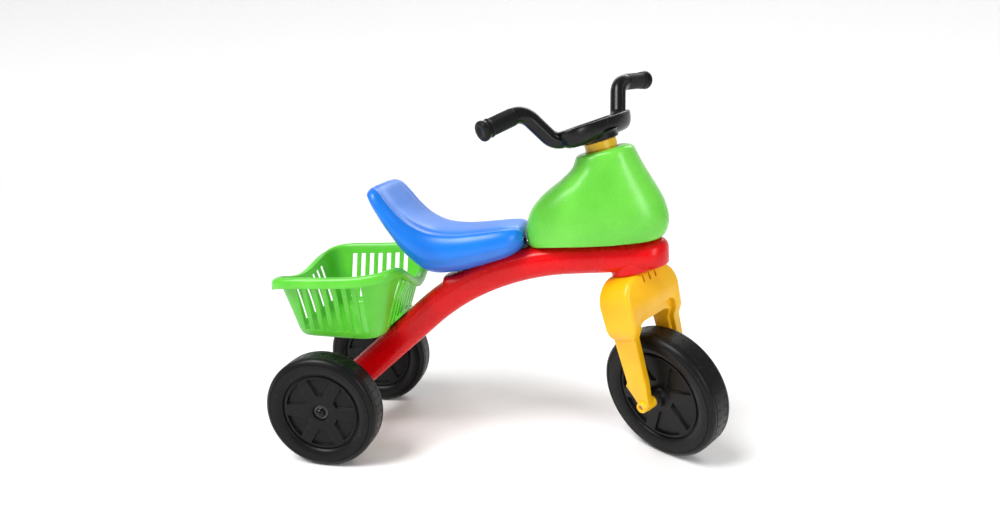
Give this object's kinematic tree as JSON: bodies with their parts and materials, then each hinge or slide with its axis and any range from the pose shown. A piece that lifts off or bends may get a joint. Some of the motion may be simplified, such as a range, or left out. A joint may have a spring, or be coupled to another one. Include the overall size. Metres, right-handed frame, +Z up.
{
  "type": "children's tricycle",
  "caption": "Small ride-on tricycle with an arched beam frame, moulded saddle, slotted rear basket, raked front fork and raised handlebar.",
  "frame": {"origin": "on the ground, midway between the rear wheels, directly under the rear axle", "axes": "+X forward, +Y to the rider's left, +Z up; the front wheel is stored turned 38 degrees to the rider's right"},
  "size_m": [0.6678, 0.2967, 0.5619],
  "materials": {
    "red_polyethylene": "blow-moulded, satin gloss",
    "lime_polyethylene": "blow-moulded, satin gloss",
    "basket_green": "injection-moulded polypropylene, gloss",
    "saddle_blue": "blow-moulded, satin gloss",
    "fork_yellow": "injection-moulded polypropylene, gloss",
    "bar_black": "injection-moulded, satin",
    "grip_black": "fine ribbed, satin",
    "wheel_black": "blow-moulded, satin",
    "bush_black": "moulded nylon",
    "zinc_steel": "zinc plated"
  },
  "bodies": {
    "frame": {"main_beam": "red_polyethylene", "head_cover": "lime_polyethylene", "cover_screws": "zinc_steel", "seat": "saddle_blue", "seat_clamp": "bush_black", "seat_bolt": "zinc_steel", "seat_screws": "zinc_steel", "basket": "basket_green", "basket_screws": "zinc_steel", "rear_axle": "zinc_steel", "axle_spacers": "bush_black", "axle_washers": "zinc_steel", "rear_axle_caps": "bush_black", "upper_bush": "bush_black", "lower_bush": "bush_black"},
    "steering": {"fork": "fork_yellow", "front_axle": "zinc_steel", "handlebar": "bar_black", "stem_bolt": "zinc_steel", "stem_washer": "zinc_steel", "grip_left": "grip_black", "grip_right": "grip_black"},
    "front_wheel": {"front_wheel": "wheel_black", "front_bushes": "bush_black"},
    "rear_wheel_left": {"rear_wheel_left": "wheel_black", "rear_bushes_left": "bush_black"},
    "rear_wheel_right": {"rear_wheel_right": "wheel_black", "rear_bushes_right": "bush_black"}
  },
  "joints": [
    {"name": "steer", "type": "hinge", "parent": "frame", "child": "steering", "pos_m": [0.527, 0, 0], "axis": [-0.2924, 0, 0.9563], "range_deg": [-17, 93]},
    {"name": "front_wheel_spin", "type": "hinge", "parent": "steering", "child": "front_wheel", "pos_m": [0.49199, 0.00308, 0.10103], "axis": [0.5888, 0.788, 0.18], "continuous": true},
    {"name": "rear_wheel_left_spin", "type": "hinge", "parent": "frame", "child": "rear_wheel_left", "pos_m": [0, 0.114, 0.085], "axis": [0, 1, 0], "continuous": true},
    {"name": "rear_wheel_right_spin", "type": "hinge", "parent": "frame", "child": "rear_wheel_right", "pos_m": [0, -0.114, 0.085], "axis": [0, 1, 0], "continuous": true}
  ]
}
